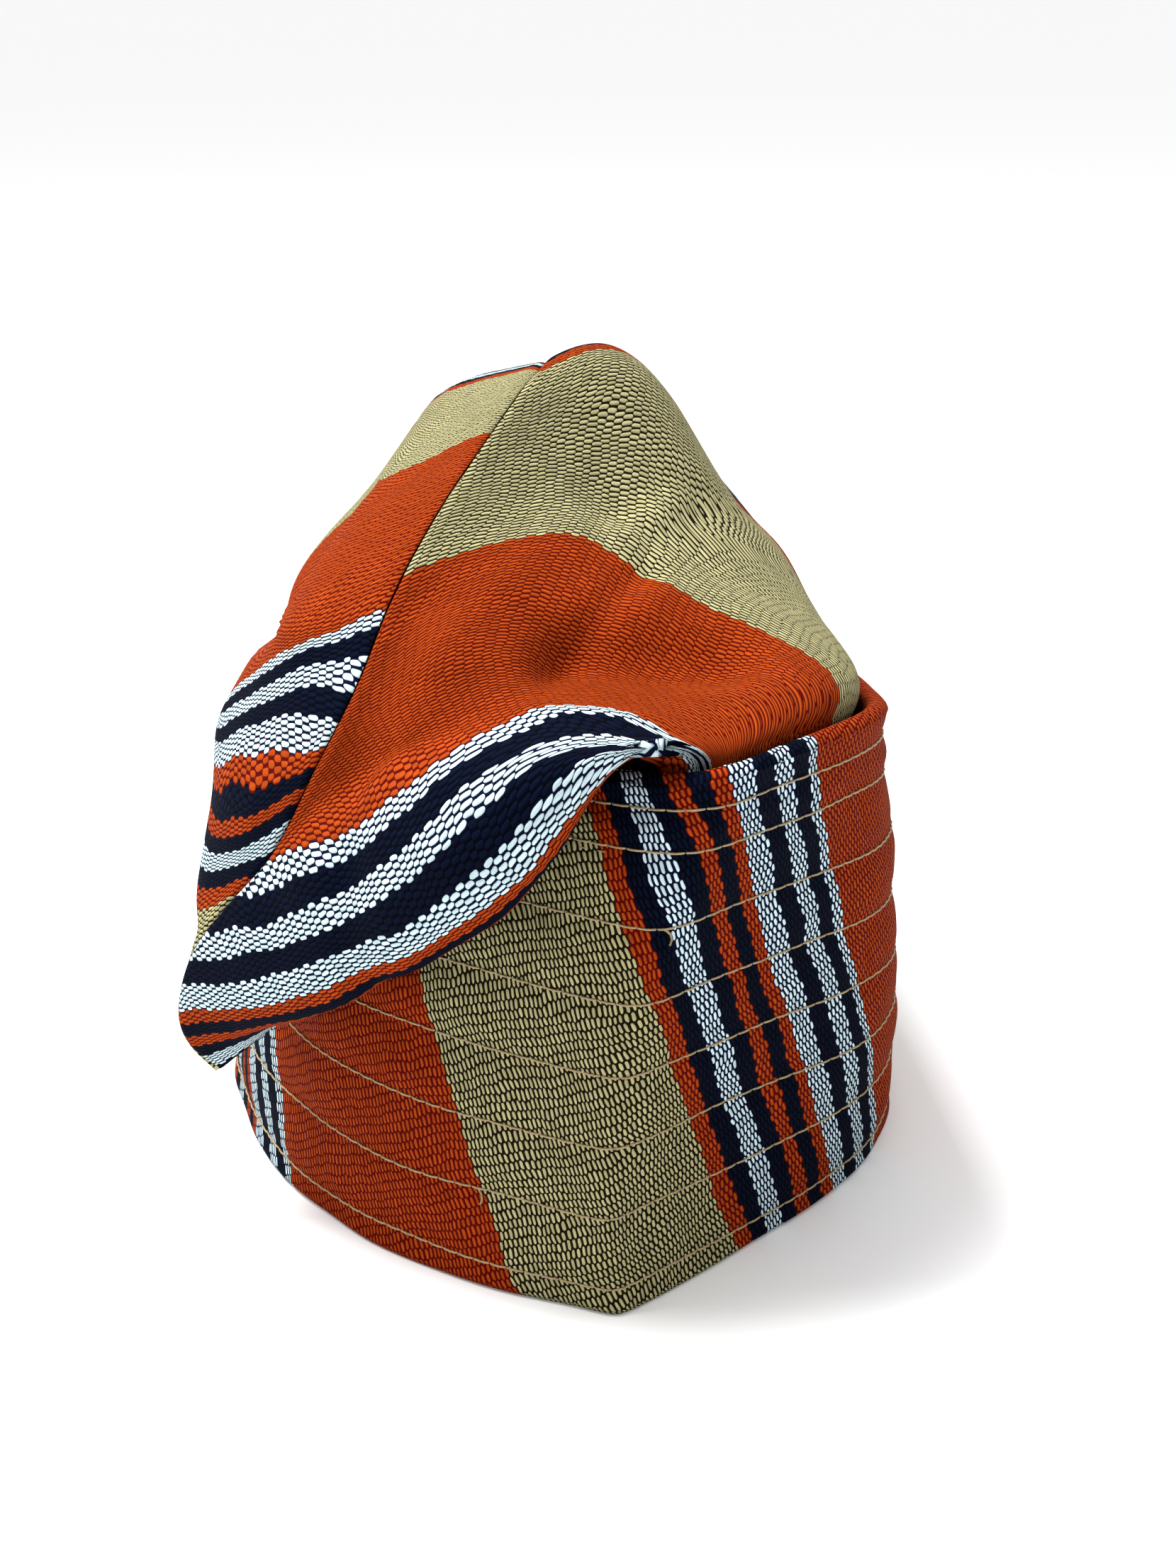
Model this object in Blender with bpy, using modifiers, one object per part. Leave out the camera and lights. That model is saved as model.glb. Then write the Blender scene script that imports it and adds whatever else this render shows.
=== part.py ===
"""Fila: a soft cap of striped handwoven cloth, standing on its quilted band with the crown folded forward.

Lengths are in millimetres, turned to metres when a mesh is made. The tables are measured from the foot
of the crease at the front of the band: x to the viewer's right, y away from the viewer, z up.
"""

import bpy
import numpy as np

MM = 0.001

BAND_WALL = 4.0        # layers of cloth quilted together
HEM = 1.5              # the band's foot and rim stand upright over this height, so both are flat
BAND_COLUMNS = 80
BAND_STEPS = 6         # rows of faces up the band, between its hems
MIDDLE = 60 / 104      # where the band's middle plan lies, as a share of its height
SAG_FROM = 0.72        # the rim's sag under the flap starts at this share of the height
CREASE_ROUNDING = 2    # the band's creases are rounded by this much at the foot
RIM_ROUNDING = 7       # and by this much more at the rim

CLOTH = 1.5            # wall of the crown
TUCK_INSET = 5.6       # the crown's outer face inside the band, measured from the band's outer face
TUCK_SHARES = (0.04, 0.25, 0.46, 0.67)    # heights of its rows there, as shares of the band's height
TUCK_ROUNDING = 7      # the tucked cloth rounds the band's creases by this much
PINCHED = 0.38         # where the two panels lie close, each wall takes at most this share of the distance
SEAM_GAP = 0.5         # between the two panels along their seam
LEAST_LEAN = 0.6       # keeps the seam's mitre short where the panels meet at a sharp angle
CROWN_COLUMNS = 80
CROWN_ROWS = 18        # above the band

# Where the cloth passes the rim, over it into the flap or up inside it.
# depth behind the outer face over, height over the rim over, depth inside, height inside
PASSING = (
    (6.5, -1, 7.6, -7),
    (2, 3, 6.2, -3.5),
    (-3.5, -1, 5, 0),
)
CROSSING_ARCH = 3      # how much higher the cloth lies where it goes from over the rim to inside it

FINE = 480             # points round a loop that other pieces are placed on
CURVE_POINTS = 400     # points that stand for a smooth curve while it is spaced evenly
GIRTH = 566            # round the band's foot; the ribs' places along the rim are stated on this

# The band's plan, from the front crease round to the back, on the viewer's right and left.
# base x, base y, middle x, middle y, rim x, rim y, rim height
BAND_RIGHT = (
    (0, 0, 3, -1, 18, -5, 104),
    (30, 29, 30, 24, 30, 9, 104),
    (50, 56, 50, 48, 45, 28, 103),
    (59, 103, 53, 95, 47, 72, 97),
    (36, 175, 37, 170, 34, 160, 95),
    (-28, 226, -28, 232, -28, 240, 95),
)
BAND_LEFT = (
    (0, 0, 3, -1, 18, -5, 104),
    (-40, 20, -39, 26, -33, 33, 104),
    (-70, 59, -65, 62, -56, 62, 102),
    (-83, 113, -76, 112, -66, 105, 99),
    (-76, 170, -69, 172, -61, 170, 96),
    (-28, 226, -28, 232, -28, 240, 95),
)
# How far the flap presses the rim down. place along the rim, drop
SAG = ((-120, 0), (-90, 5), (-60, 6), (-24, 5), (-12, 3.5), (0, 1), (15, 0))

# The seam between the two panels, from the flap's tip over the peak to the back. rib, x, y, z
RIDGE = (
    ("front", -76, 42, 27),
    ("edge", -83, 43, 36),
    ("border", -78, 37, 55),
    ("crest", -62, 25, 77),
    ("fold", -53, 20, 94.5),
    ("valley", -45, 23, 110),
    ("shoulder", -36, 38, 128.5),
    ("upper", -22, 60, 147),
    ("peak", -14, 82, 154.5),
    ("behind", -13, 120, 147),
    ("rear", -18, 160, 135),
    ("back", -27, 211, 112),
)
# The cloth's ribs, each from the rim up to the seam. place along the rim, share passing over the rim,
# low point x, y, z, high point x, y, z
RIGHT_RIBS = (
    (-30, 1, -27, 16, 78, -51, 31, 52),
    (-27, 1, -12, 3, 87.5, -42, 10, 59),
    (-20, 0, -4, -4, 101, -42, 3, 76),
    (-9, 0, 0, -4, 107.5, -32, 3, 100),
    (0, 0, 9, 8, 106.5, -21, 14, 107),
    (35, 0, 13, 27, 113, -20, 26, 115),
    (84, 0, 20, 58, 120, -13, 47, 127),
    (125, 0, 26.5, 88, 120, -5, 70, 140),
    (158, 0, 24.5, 106, 123, -2, 93, 156),
    (192, 0, 21, 143, 121, 3, 128, 138),
    (232, 0, 8, 184, 114, -4, 170, 128),
    (283, 0, -27.5, 226, 106, -28, 219, 110),
)
LEFT_RIBS = (
    (-30, 1, -27, 16, 78, -51, 31, 52),
    (-46, 1, -42, 28, 80, -66, 45, 44),
    (-60, 1, -60, 48, 76, -77, 47, 55),
    (-76, 1, -69, 60, 83, -77, 47, 68),
    (-88, 1, -71.5, 64, 90, -74, 45, 81),
    (-102, 1, -70.5, 67, 95, -69, 44, 95),
    (-124, 0.8, -60, 86, 105, -57, 55, 119),
    (-148, 0.4, -54, 104, 118, -40, 76, 138),
    (-172, 0, -50, 133, 122, -32, 103, 146),
    (-200, 0, -50, 158, 117, -35, 136, 138),
    (-238, 0, -43, 190, 112, -34, 173, 125),
    (-283, 0, -27.5, 226, 106, -28, 219, 110),
)

# The hollow behind the flap is pressed in along a line, deepest on it.
HOLLOW_START = (16, 30, 113)
HOLLOW_END = (-8, 28, 114)
HOLLOW_WIDTH = 8       # from its middle to where it is shallower by two thirds
HOLLOW_DEPTH = 6


def spline(knots, values, at):
    """A natural cubic curve through the values at the knots, read at other places."""
    knots = np.asarray(knots, float)
    values = np.asarray(values, float)
    steps = np.diff(knots)
    count = len(knots)
    matrix = np.eye(count)
    right = np.zeros(values.shape)
    for i in range(1, count - 1):
        matrix[i, i - 1:i + 2] = steps[i - 1], 2 * (steps[i - 1] + steps[i]), steps[i]
        rise = (values[i + 1] - values[i]) / steps[i] - (values[i] - values[i - 1]) / steps[i - 1]
        right[i] = 6 * rise
    bend = np.linalg.solve(matrix, right)
    piece = np.clip(np.searchsorted(knots, at, side="right") - 1, 0, count - 2)
    step = steps[piece][:, None]
    after = (knots[piece + 1] - at)[:, None] / step
    before = 1 - after
    straight = values[piece] * after + values[piece + 1] * before
    curved = bend[piece] * (after**3 - after) + bend[piece + 1] * (before**3 - before)
    return straight + curved * step**2 / 6


def lengths(points):
    """The distance along a line of points, at each point."""
    return np.concatenate([[0], np.cumsum(np.linalg.norm(np.diff(points, axis=0), axis=1))])


def read_along(points, at):
    """Points read off a line of points at these distances."""
    along = lengths(points)
    return np.stack([np.interp(at, along, values) for values in points.T], axis=1)


def evenly(points, count):
    """Points spaced evenly along the smooth curve through a few points."""
    points = np.asarray(points, float)
    knots = lengths(points)
    fine = spline(knots, points, np.linspace(0, knots[-1], CURVE_POINTS))
    return read_along(fine, np.linspace(0, lengths(fine)[-1], count))


def round_off(loop, width):
    """A closed loop smoothed over this width, which rounds its creases."""
    step = np.linalg.norm(loop[1] - loop[0])
    reach = int(np.ceil(3 * width / step))    # a bell curve is all but over at three widths
    shifts = np.arange(-reach, reach + 1)
    weights = np.exp(-0.5 * (shifts * step / width)**2)
    weights /= weights.sum()
    return sum(weight * np.roll(loop, shift, axis=0) for weight, shift in zip(weights, shifts))


def unit(vectors):
    return vectors / np.linalg.norm(vectors, axis=-1, keepdims=True)


def band_plan(level, count):
    """One plan of the band with its rim height: 0 base, 1 middle, 2 rim."""
    sides = []
    for table in (BAND_RIGHT, BAND_LEFT):
        corners = [row[2 * level:2 * level + 2] + row[6:] for row in table]
        sides.append(evenly(corners, count // 2 + 1))
    return np.concatenate([sides[0][:-1], sides[1][::-1][:-1]])


def band_loop(share, count):
    """The band's outer face at a share of its height, from the front crease round by the right."""
    base, middle, rim = (band_plan(level, count) for level in range(3))
    to_middle = share * (share - 1) / (MIDDLE * (MIDDLE - 1))
    to_rim = share * (share - MIDDLE) / (1 - MIDDLE)
    plan = (1 - to_middle - to_rim) * base + to_middle * middle + to_rim * rim
    plan = round_off(plan[:, :2], CREASE_ROUNDING + RIM_ROUNDING * share**2)
    place = lengths(np.vstack([rim, rim[:1]])[:, :2])
    place = np.where(place > place[-1] / 2, place - place[-1], place)[:-1]
    top = np.clip((share - SAG_FROM) / (1 - SAG_FROM), 0, 1)
    drop = np.interp(place, *np.array(SAG).T) * top**2
    return np.column_stack([plan, rim[:, 2] * share - drop])


def on_band(share, places, inset, lift=0, rounding=0):
    """Points at places round the band, set back from its outer face and lifted."""
    loop = band_loop(share, FINE)
    if rounding:
        loop = np.column_stack([round_off(loop[:, :2], rounding), loop[:, 2]])
    along = np.roll(loop, -1, axis=0) - np.roll(loop, 1, axis=0)
    out = unit(np.column_stack([along[:, 1], -along[:, 0]]))
    table = np.column_stack([loop, out])
    table = np.vstack([table, table[:1]])
    at = places % GIRTH * FINE / GIRTH
    point = np.stack([np.interp(at, np.arange(FINE + 1), values) for values in table.T], axis=1)
    level = point[:, :2] - point[:, 3:] * np.reshape(inset, (-1, 1))
    return np.column_stack([level, point[:, 2] + lift])


def round_ring(values, turn, at):
    """Values at the ribs, which go right round the cap, read between them. turn is what one round adds."""
    count = len(values)
    knots = np.arange(-4, count + 4)    # four ribs more at each end, so the curve closes smoothly
    wrapped = values[knots % count] + np.outer(knots // count, turn)
    return spline(knots, wrapped, at)


def crown_surface():
    """The crown's outer face: rows from the tucked foot to the seam, columns right round from the front."""
    last = len(RIDGE) - 1
    at = np.arange(CROWN_COLUMNS) * 2 * last / CROWN_COLUMNS
    ribs = np.array(RIGHT_RIBS + LEFT_RIBS[1:-1][::-1], float)
    ribs[last + 1:, 0] += GIRTH
    read = round_ring(ribs, [GIRTH] + [0] * 7, at)
    places = read[:, 0]
    over = np.clip(read[:, 1], 0, 1)
    seam = spline(np.arange(last + 1), [row[1:] for row in RIDGE], np.minimum(at, 2 * last - at))
    tuck = [on_band(share, places, TUCK_INSET, rounding=TUCK_ROUNDING) for share in TUCK_SHARES]
    passing = []
    for inset_over, lift_over, inset_in, lift_in in PASSING:
        inset = over * inset_over + (1 - over) * inset_in
        lift = over * lift_over + (1 - over) * lift_in + CROSSING_ARCH * 4 * over * (1 - over)
        passing.append(on_band(1, places, inset, lift))
    keys = np.stack(passing + [read[:, 2:5], read[:, 5:8], seam], axis=1)
    above = []
    for rib in keys:
        knots = lengths(rib)
        fine = spline(knots, rib, np.linspace(knots[2], knots[-1], CURVE_POINTS))
        above.append(read_along(fine, np.linspace(0, lengths(fine)[-1], CROWN_ROWS + 1)))
    return np.concatenate([tuck, passing[:2], np.stack(above, axis=1)])


def facing_out(outer):
    """The way each point of the crown faces."""
    tips = [0, outer.shape[1] // 2]
    along = np.roll(outer, -1, axis=1) - np.roll(outer, 1, axis=1)
    along[-1, tips] = along[-2, tips]
    return unit(np.cross(along, np.gradient(outer, axis=0)))


def hollow_depth(points):
    """How deep the hollow behind the flap is at each point."""
    start = np.array(HOLLOW_START)
    run = np.array(HOLLOW_END) - start
    share = np.clip((points - start) @ run / (run @ run), 0, 1)
    away = np.linalg.norm(points - start - share[..., None] * run, axis=2, keepdims=True)
    return HOLLOW_DEPTH * np.exp(-(away / HOLLOW_WIDTH)**2)


def crown_walls():
    """The crown's outer and inner faces, with the wall's mitre along the seam."""
    outer = crown_surface()
    outer -= facing_out(outer) * hollow_depth(outer)
    count = outer.shape[1]
    mate = -np.arange(count) % count
    facing = facing_out(outer)
    shared = unit(facing[-1] + facing[-1, mate])
    lean = np.sum(shared * facing[-1], axis=1, keepdims=True)
    for tip, beside in ((0, 1), (count // 2, count // 2 - 1)):
        shared[tip] = unit(facing[-2, tip] + shared[beside])
    facing[-1] = shared / np.maximum(lean, LEAST_LEAN)
    apart = np.linalg.norm(outer - outer[:, mate], axis=2, keepdims=True)
    wall = np.minimum(CLOTH, PINCHED * apart)
    for seam, beside in ((0, 1), (count // 2, count // 2 + 1)):
        wall[:, seam] = wall[:, beside]
    wall[-1] = wall[-2]
    return outer, outer - facing * wall


def set_back(points, seam, beside, facing):
    """Points at the seam moved half a gap into their panel, towards the points beside the seam and level with
    the wall, which faces this way."""
    towards = beside - seam
    run = unit(np.gradient(seam, axis=0))
    towards -= run * np.sum(run * towards, axis=1, keepdims=True)
    facing = facing - run * np.sum(run * facing, axis=1, keepdims=True)
    facing = unit(facing)
    towards -= facing * np.sum(facing * towards, axis=1, keepdims=True)
    return points + unit(towards) * SEAM_GAP / 2


def panel_walls(first):
    """One panel's outer and inner faces, half the crown's columns from the first, set back at its seams."""
    outer, inner = crown_walls()
    count = outer.shape[1]
    columns = np.arange(first, first + count // 2 + 1) % count
    outer = outer[:, columns]
    inner = inner[:, columns]
    edge = [(row, 0) for row in range(len(outer))]
    edge += [(-1, column) for column in range(1, len(columns) - 1)]
    edge += [(row, -1) for row in reversed(range(len(outer)))]
    rows, places = np.array(edge).T
    beside_rows = np.where((places != 0) & (places != -1), -2, rows)
    beside_places = np.where(places == 0, 1, np.where(places == -1, -2, places))
    seam = outer[rows, places]
    beside = outer[beside_rows, beside_places]
    facing = seam - inner[rows, places]
    moved_outer = set_back(seam, seam, beside, facing)
    moved_inner = set_back(inner[rows, places], seam, beside, facing)
    outer[rows, places] = moved_outer
    inner[rows, places] = moved_inner
    return outer, inner


def clear_scene():
    for thing in list(bpy.data.objects):
        bpy.data.objects.remove(thing, do_unlink=True)


def cloth_material(name, colour, roughness):
    material = bpy.data.materials.new(name)
    material.use_nodes = True
    shader = material.node_tree.nodes["Principled BSDF"]
    shader.inputs["Base Color"].default_value = (*colour, 1)
    shader.inputs["Roughness"].default_value = roughness
    shader.inputs["Metallic"].default_value = 0
    return material


def add_object(name, points, faces, origin, material, collection):
    """A mesh object from points in millimetres, moved so that the origin is under the cap's middle."""
    mesh = bpy.data.meshes.new(name)
    mesh.from_pydata(((points - origin) * MM).tolist(), [], faces)
    mesh.materials.append(material)
    mesh.shade_smooth()
    thing = bpy.data.objects.new(name, mesh)
    collection.objects.link(thing)
    return thing


def band_rows():
    """The band's outer face, with an upright hem at the foot and the rim."""
    foot = band_loop(0, BAND_COLUMNS)
    rim = band_loop(1, BAND_COLUMNS)
    hem = np.array([0, 0, HEM])
    between = [band_loop(row / BAND_STEPS, BAND_COLUMNS) for row in range(1, BAND_STEPS)]
    return np.array([foot, foot + hem, *between, rim - hem, rim])


def ring_faces(rows, columns):
    """Quads of a surface that closes round its columns, facing out."""
    faces = []
    for row in range(rows - 1):
        for column in range(columns):
            after = (column + 1) % columns
            low, high = row * columns, (row + 1) * columns
            faces.append((low + column, low + after, high + after, high + column))
    return faces


def shell_faces(rows, columns):
    """Quads of a closed wall between an outer and an inner grid of the same size."""
    size = rows * columns
    faces = []
    for row in range(rows - 1):
        for column in range(columns - 1):
            corner = row * columns + column
            quad = (corner, corner + 1, corner + columns + 1, corner + columns)
            faces.append(quad)
            faces.append(tuple(size + index for index in reversed(quad)))
    foot = list(range(columns))
    far = [row * columns + columns - 1 for row in range(1, rows)]
    top = [(rows - 1) * columns + column for column in reversed(range(columns - 1))]
    near = [row * columns for row in reversed(range(1, rows - 1))]
    border = foot + far + top + near
    for start, end in zip(border, border[1:] + border[:1]):
        faces.append((end, start, size + start, size + end))
    return faces


def add_band(origin, material, collection):
    rows = band_rows()
    faces = ring_faces(len(rows), BAND_COLUMNS)
    band = add_object("band", rows.reshape(-1, 3), faces, origin, material, collection)
    wall = band.modifiers.new("quilted wall", "SOLIDIFY")
    wall.thickness = BAND_WALL * MM
    wall.offset = -1
    wall.use_even_offset = True


def add_panel(name, first, origin, material, collection):
    outer, inner = panel_walls(first)
    points = np.concatenate([outer.reshape(-1, 3), inner.reshape(-1, 3)])
    faces = shell_faces(*outer.shape[:2])
    add_object(name, points, faces, origin, material, collection)


def under_middle():
    """The point on the ground under the middle of the cap's box."""
    points = np.concatenate([band_rows().reshape(-1, 3)] +
                            [panel_walls(first)[0].reshape(-1, 3) for first in (0, CROWN_COLUMNS // 2)])
    middle = (points.min(axis=0) + points.max(axis=0)) / 2
    return np.array([middle[0], middle[1], 0])


clear_scene()
cap = bpy.data.collections.new("fila_cap")
bpy.context.scene.collection.children.link(cap)
origin = under_middle()
add_band(origin, cloth_material("quilted orange cloth", (0.60, 0.09, 0.02), 0.9), cap)
khaki = cloth_material("khaki cloth", (0.46, 0.41, 0.23), 0.9)
orange = cloth_material("orange cloth", (0.5, 0.08, 0.02), 0.9)
add_panel("right_panel", 0, origin, khaki, cap)
add_panel("left_panel", CROWN_COLUMNS // 2, origin, orange, cap)
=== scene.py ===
"""Fila: the look of a soft cap of striped handwoven cotton, standing on its quilted band.

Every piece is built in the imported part's frame. The tables and the mesh code are in millimetres, turned to
metres when a mesh is made, and are measured from the foot of the crease at the front of the band: x to the
viewer's right, y away from the viewer, z up.
"""

import math

import bpy
import numpy as np
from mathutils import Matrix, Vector, noise


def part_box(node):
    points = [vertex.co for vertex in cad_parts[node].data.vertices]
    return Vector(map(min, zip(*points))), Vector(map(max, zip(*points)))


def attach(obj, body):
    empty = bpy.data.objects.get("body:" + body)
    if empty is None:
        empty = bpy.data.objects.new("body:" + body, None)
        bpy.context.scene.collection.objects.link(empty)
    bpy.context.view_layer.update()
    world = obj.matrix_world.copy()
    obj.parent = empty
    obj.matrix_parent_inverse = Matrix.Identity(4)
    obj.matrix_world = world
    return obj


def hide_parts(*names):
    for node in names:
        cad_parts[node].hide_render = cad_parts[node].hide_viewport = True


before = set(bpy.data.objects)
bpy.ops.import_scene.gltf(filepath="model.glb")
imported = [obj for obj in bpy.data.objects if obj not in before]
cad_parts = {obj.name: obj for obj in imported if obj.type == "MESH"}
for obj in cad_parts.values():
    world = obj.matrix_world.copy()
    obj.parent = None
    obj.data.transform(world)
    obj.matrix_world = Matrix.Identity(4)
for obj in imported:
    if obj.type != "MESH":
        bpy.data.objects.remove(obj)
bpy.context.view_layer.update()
MM = 0.001


# The band: layers of the striped cotton quilted together, 4 mm thick in all, with the cloth folded over the
# rim. Its outer face runs through plans of its foot, middle and rim, and puffs out between the stitching.
BAND_WALL = 4
BAND_HEIGHT = 104
BAND_COLUMNS = 432
BAND_ROWS = 104
INNER_ROWS = 40
FOOT_ROUNDING = 1.2
STITCH_ROWS = (5.1, 19.2, 33.1, 46.7, 60.5, 74.4, 88.3, 96.6)   # heights at the front
CHANNEL = 0.65         # how deep the stitching pulls the cloth in
CHANNEL_WIDTH = 2.6
PUFF = 0.35            # how far the cloth puffs out between the rows, as a share of the channels' depth
BAND_UNEVEN = 0.9      # how far the filling's unevenness moves the cloth
UNEVEN_SCALE = np.array((0.05, 0.05, 0.08))    # and how quickly it changes per millimetre
MIDDLE = 60 / BAND_HEIGHT    # where the middle plan lies, as a share of the height
FOOT_CREASE = 2        # how softly the creases turn at the foot
RIM_CREASE = 7         # and how much more softly at the rim
SAG_FROM = 0.72        # the rim's sag starts at this share of the height
FINE = 480             # points round a loop that other pieces are placed on
PLAN_STEPS = 400       # along a plan's curve before it is spaced evenly
TURN_STEP = 15         # degrees between the rows that turn over the rim
GIRTH = 566            # round the foot; places along the rim are stated on this

# The plan from the front crease round to the back, on the viewer's right and left.
# base x, base y, middle x, middle y, rim x, rim y, rim height
BAND_RIGHT = (
    (0, 0, 3, -1, 18, -5, 104),
    (30, 29, 30, 24, 30, 9, 104),
    (50, 56, 50, 48, 45, 28, 103),
    (59, 103, 53, 95, 47, 72, 97),
    (36, 175, 37, 170, 34, 160, 95),
    (-28, 226, -28, 232, -28, 240, 95),
)
BAND_LEFT = (
    (0, 0, 3, -1, 18, -5, 104),
    (-40, 20, -39, 26, -33, 33, 104),
    (-70, 59, -65, 62, -56, 62, 102),
    (-83, 113, -76, 112, -66, 105, 99),
    (-76, 170, -69, 172, -61, 170, 96),
    (-28, 226, -28, 232, -28, 240, 95),
)
# How far the flap presses the rim down. place along the rim, drop
SAG = ((-120, 0), (-90, 5), (-60, 6), (-24, 5), (-12, 3.5), (0, 1), (15, 0))


def spline(knots, values, at):
    """A natural cubic curve through the values at the knots, read at other places."""
    knots = np.asarray(knots, float)
    values = np.asarray(values, float)
    steps = np.diff(knots)
    count = len(knots)
    matrix = np.eye(count)
    right = np.zeros(values.shape)
    for i in range(1, count - 1):
        matrix[i, i - 1:i + 2] = steps[i - 1], 2 * (steps[i - 1] + steps[i]), steps[i]
        rise = (values[i + 1] - values[i]) / steps[i] - (values[i] - values[i - 1]) / steps[i - 1]
        right[i] = 6 * rise
    bend = np.linalg.solve(matrix, right)
    piece = np.clip(np.searchsorted(knots, at, side="right") - 1, 0, count - 2)
    step = steps[piece][:, None]
    after = (knots[piece + 1] - at)[:, None] / step
    before = 1 - after
    straight = values[piece] * after + values[piece + 1] * before
    curved = bend[piece] * (after**3 - after) + bend[piece + 1] * (before**3 - before)
    return straight + curved * step**2 / 6


def lengths(points):
    """The distance along a line of points, at each point."""
    return np.concatenate([[0], np.cumsum(np.linalg.norm(np.diff(points, axis=0), axis=1))])


def read_along(points, at):
    """Points read off a line of points at these distances."""
    along = lengths(points)
    return np.stack([np.interp(at, along, values) for values in points.T], axis=1)


def evenly(points, count):
    """Points spaced evenly along the smooth curve through a few points."""
    points = np.asarray(points, float)
    knots = lengths(points)
    fine = spline(knots, points, np.linspace(0, knots[-1], PLAN_STEPS))
    return read_along(fine, np.linspace(0, lengths(fine)[-1], count))


def round_off(loop, width):
    """A closed loop smoothed over this width, which rounds its creases."""
    step = np.linalg.norm(loop[1] - loop[0])
    reach = int(np.ceil(3 * width / step))
    shifts = np.arange(-reach, reach + 1)
    weights = np.exp(-0.5 * (shifts * step / width)**2)
    weights /= weights.sum()
    return sum(weight * np.roll(loop, shift, axis=0) for weight, shift in zip(weights, shifts))


def unit(vectors):
    return vectors / np.maximum(np.linalg.norm(vectors, axis=-1, keepdims=True), 1e-9)


def band_plans(count):
    """The base, middle and rim plans, each with its rim height, from the front crease round by the right."""
    plans = []
    for level in range(3):
        sides = []
        for table in (BAND_RIGHT, BAND_LEFT):
            corners = [row[2 * level:2 * level + 2] + row[6:] for row in table]
            sides.append(evenly(corners, count // 2 + 1))
        plans.append(np.concatenate([sides[0][:-1], sides[1][::-1][:-1]]))
    return plans


def band_loop(share, plans):
    """The band's outer face at a share of its height."""
    base, middle, rim = plans
    to_middle = share * (share - 1) / (MIDDLE * (MIDDLE - 1))
    to_rim = share * (share - MIDDLE) / (1 - MIDDLE)
    plan = (1 - to_middle - to_rim) * base + to_middle * middle + to_rim * rim
    plan = round_off(plan[:, :2], FOOT_CREASE + RIM_CREASE * share**2)
    place = lengths(np.vstack([rim, rim[:1]])[:, :2])
    place = np.where(place > place[-1] / 2, place - place[-1], place)[:-1]
    top = np.clip((share - SAG_FROM) / (1 - SAG_FROM), 0, 1)
    drop = np.interp(place, *np.array(SAG).T) * top**2
    return np.column_stack([plan, rim[:, 2] * share - drop])


def outward(loop):
    """Level directions out of a closed loop."""
    along = np.roll(loop, -1, axis=0) - np.roll(loop, 1, axis=0)
    return unit(np.column_stack([along[:, 1], -along[:, 0]]))


def channels(height):
    """How far the stitching pulls the cloth in at this height of the front."""
    away = np.min(np.abs(height - np.array(STITCH_ROWS)))
    return CHANNEL * (np.exp(-(away / CHANNEL_WIDTH)**2) - PUFF)


def band_ring(share, plans, inset, lift=0):
    """One row of the band's wall, softly uneven between the stitches."""
    loop = band_loop(share, plans)
    push = np.array([[noise.noise(Vector(point * UNEVEN_SCALE))] for point in loop]) * BAND_UNEVEN
    level = loop[:, :2] + outward(loop) * (push - inset)
    return np.column_stack([level, loop[:, 2] + lift])


def band_profile():
    """The wall's section as rows of share of the height, inset, lift and length along the cloth."""
    rim_rounding = BAND_WALL / 2
    rows = []
    start = FOOT_ROUNDING / BAND_HEIGHT
    end = 1 - rim_rounding / BAND_HEIGHT
    for share in np.linspace(start, end, BAND_ROWS):
        height = share * BAND_HEIGHT
        rows.append((share, channels(height), 0, height))
    flat = rows[-1][1]
    for angle in np.radians(np.arange(TURN_STEP, 180, TURN_STEP)):
        turned = rim_rounding * (1 - np.cos(angle))
        inset = turned + flat * (1 - turned / BAND_WALL)
        lift = rim_rounding * (np.sin(angle) - 1)
        rows.append((1, inset, lift, rows[-1][3] + rim_rounding * math.radians(TURN_STEP)))
    past = rows[-1][3] + BAND_HEIGHT * end
    for share in np.linspace(end, start, INNER_ROWS):
        height = share * BAND_HEIGHT
        rows.append((share, BAND_WALL, 0, past - height))
    for angle in np.radians((30, 60, 90)):
        inset = BAND_WALL - FOOT_ROUNDING * (1 - np.cos(angle))
        lift = FOOT_ROUNDING * (1 - np.sin(angle))
        rows.append((0, inset, lift, rows[-1][3] + FOOT_ROUNDING * math.radians(30)))
    for angle in np.radians((90, 60, 30)):
        inset = FOOT_ROUNDING * (1 - np.cos(angle))
        lift = FOOT_ROUNDING * (1 - np.sin(angle))
        rows.append((0, inset, lift, -FOOT_ROUNDING * angle))
    return rows


# The cloth's stripes lean on the band: it was cut on a slant. They are set out from a seam at the back.
LEAN = math.atan(0.42)
FIRST_STRIPE = 18.5    # from the front crease back to where the khaki stripe starts at the foot


def band_map(around, height):
    """Where a place on the band lies on the cloth: along the warp and across it."""
    along = -around * np.sin(LEAN) + height * np.cos(LEAN)
    across = (around + FIRST_STRIPE) * np.cos(LEAN) + height * np.sin(LEAN)
    return np.stack([along, across], axis=-1)


def cloth_mesh(name, points, faces, corners):
    """A smooth mesh object from points in millimetres, and where each face corner lies on the cloth."""
    mesh = bpy.data.meshes.new(name)
    mesh.from_pydata(((points - origin) * MM).tolist(), [], faces.tolist())
    layer = mesh.uv_layers.new(name="cloth")
    layer.uv.foreach_set("vector", np.asarray(corners, np.float32).ravel())
    mesh.shade_smooth()
    thing = bpy.data.objects.new(name, mesh)
    bpy.context.scene.collection.objects.link(thing)
    return thing


def colour(code):
    """A linear colour from an sRGB code such as B5AB7C."""
    parts = [int(code[i:i + 2], 16) / 255 for i in (0, 2, 4)]
    return [c / 12.92 if c <= 0.04045 else ((c + 0.055) / 1.055)**2.4 for c in parts] + [1]


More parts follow.
